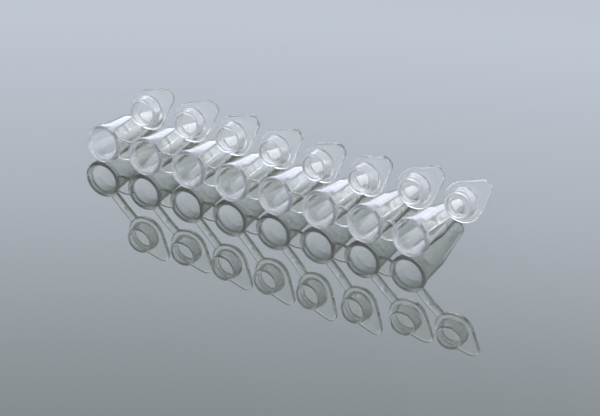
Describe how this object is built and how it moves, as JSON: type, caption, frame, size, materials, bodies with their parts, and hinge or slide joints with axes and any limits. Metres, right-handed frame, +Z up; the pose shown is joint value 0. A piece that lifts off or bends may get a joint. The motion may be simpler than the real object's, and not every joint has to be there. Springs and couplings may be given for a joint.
{
  "type": "pcr tube strip",
  "caption": "Row of thin-walled conical sample tubes joined by webs, each with its own hinged cap and plug, for heating small reactions.",
  "frame": {"origin": "middle of the bounding box on the floor", "axes": "+X along the strip from tube 1 to tube 8, +Y from the mouths to the tips, +Z up"},
  "size_m": [0.0802, 0.0212, 0.0173],
  "materials": {
    "tubes": "clear natural polypropylene, glossy",
    "caps": "clear natural polypropylene, glossy"
  },
  "bodies": {
    "tube_strip": {"tube_strip": "tubes"},
    "cap_1": {"cap_1": "caps"},
    "cap_2": {"cap_2": "caps"},
    "cap_3": {"cap_3": "caps"},
    "cap_4": {"cap_4": "caps"},
    "cap_5": {"cap_5": "caps"},
    "cap_6": {"cap_6": "caps"},
    "cap_7": {"cap_7": "caps"},
    "cap_8": {"cap_8": "caps"}
  },
  "joints": [
    {"name": "cap_1_hinge", "type": "hinge", "parent": "tube_strip", "child": "cap_1", "pos_m": [-0.03208, -0.0079, 0.00806], "axis": [0.7071, -0.0522, -0.7052], "range_deg": [-17.3, 182.7]},
    {"name": "cap_2_hinge", "type": "hinge", "parent": "tube_strip", "child": "cap_2", "pos_m": [-0.02308, -0.0079, 0.00806], "axis": [0.7071, -0.0522, -0.7052], "range_deg": [-15.3, 184.7]},
    {"name": "cap_3_hinge", "type": "hinge", "parent": "tube_strip", "child": "cap_3", "pos_m": [-0.01408, -0.0079, 0.00806], "axis": [0.7071, -0.0522, -0.7052], "range_deg": [-20.7, 179.3]},
    {"name": "cap_4_hinge", "type": "hinge", "parent": "tube_strip", "child": "cap_4", "pos_m": [-0.00508, -0.0079, 0.00806], "axis": [0.7071, -0.0522, -0.7052], "range_deg": [-22.4, 177.6]},
    {"name": "cap_5_hinge", "type": "hinge", "parent": "tube_strip", "child": "cap_5", "pos_m": [0.00392, -0.0079, 0.00806], "axis": [0.7071, -0.0522, -0.7052], "range_deg": [-25.7, 174.3]},
    {"name": "cap_6_hinge", "type": "hinge", "parent": "tube_strip", "child": "cap_6", "pos_m": [0.01292, -0.0079, 0.00806], "axis": [0.7071, -0.0522, -0.7052], "range_deg": [-24.6, 175.4]},
    {"name": "cap_7_hinge", "type": "hinge", "parent": "tube_strip", "child": "cap_7", "pos_m": [0.02192, -0.0079, 0.00806], "axis": [0.7071, -0.0522, -0.7052], "range_deg": [-13.6, 186.4]},
    {"name": "cap_8_hinge", "type": "hinge", "parent": "tube_strip", "child": "cap_8", "pos_m": [0.03092, -0.0079, 0.00806], "axis": [0.7071, -0.0522, -0.7052], "range_deg": [-12.1, 187.9]}
  ]
}
